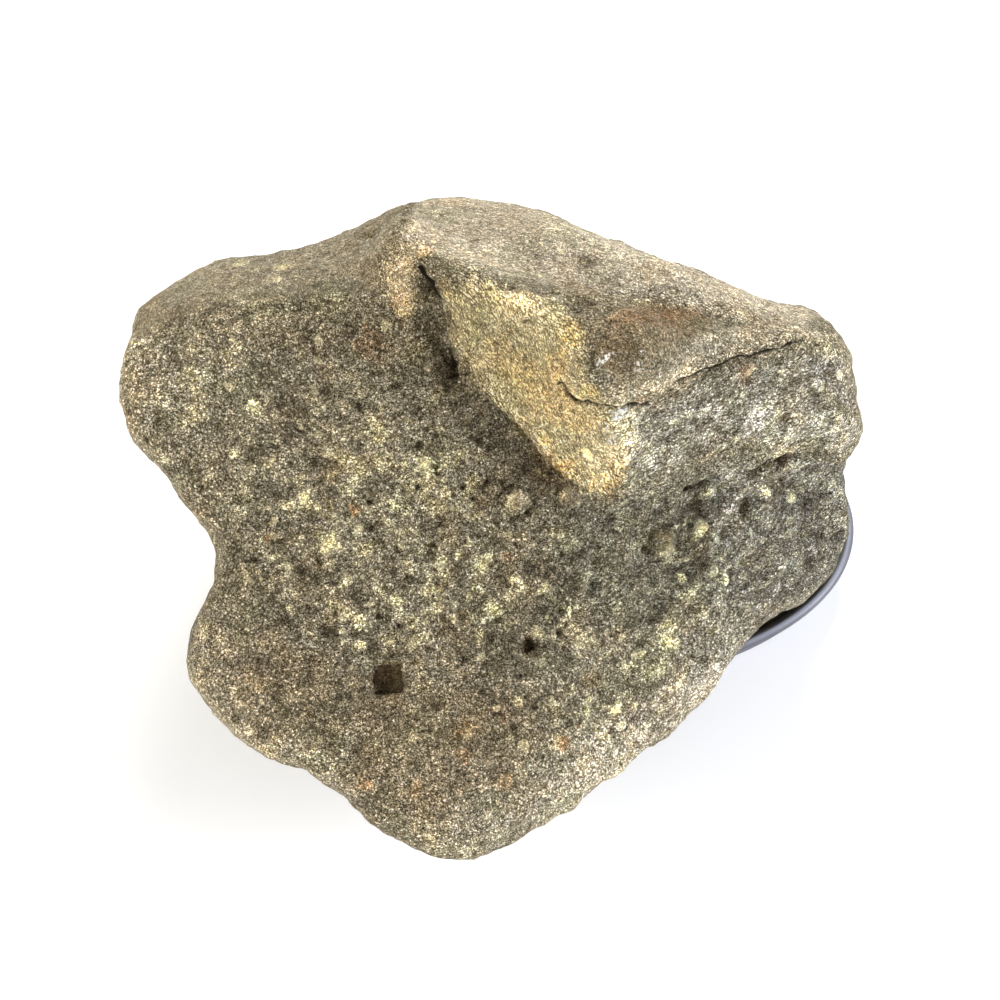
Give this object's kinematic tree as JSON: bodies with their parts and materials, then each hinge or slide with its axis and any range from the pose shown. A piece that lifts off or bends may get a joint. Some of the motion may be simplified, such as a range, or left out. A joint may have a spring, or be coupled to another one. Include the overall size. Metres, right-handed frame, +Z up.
{
  "type": "suiseki stone",
  "caption": "Weathered, pitted volcanic viewing stone with a raised block and a long overhanging face, resting in a low oval stand with a rounded lip.",
  "frame": {"origin": "centre of the stand's flat underside", "axes": "+X across the stone's width, to the right as seen from the front; +Y to the back; +Z up. The stone's broad face looks up and towards -Y."},
  "size_m": [0.2414, 0.2142, 0.1365],
  "materials": {
    "stone": "rough weathered volcanic stone, speckled grey-brown with ochre patches, small pits and pale grains",
    "stand": "dark lacquered wood, satin, nearly black with a soft violet-grey sheen"
  },
  "bodies": {
    "root": {"stone": "stone", "stand": "stand"}
  },
  "joints": []
}
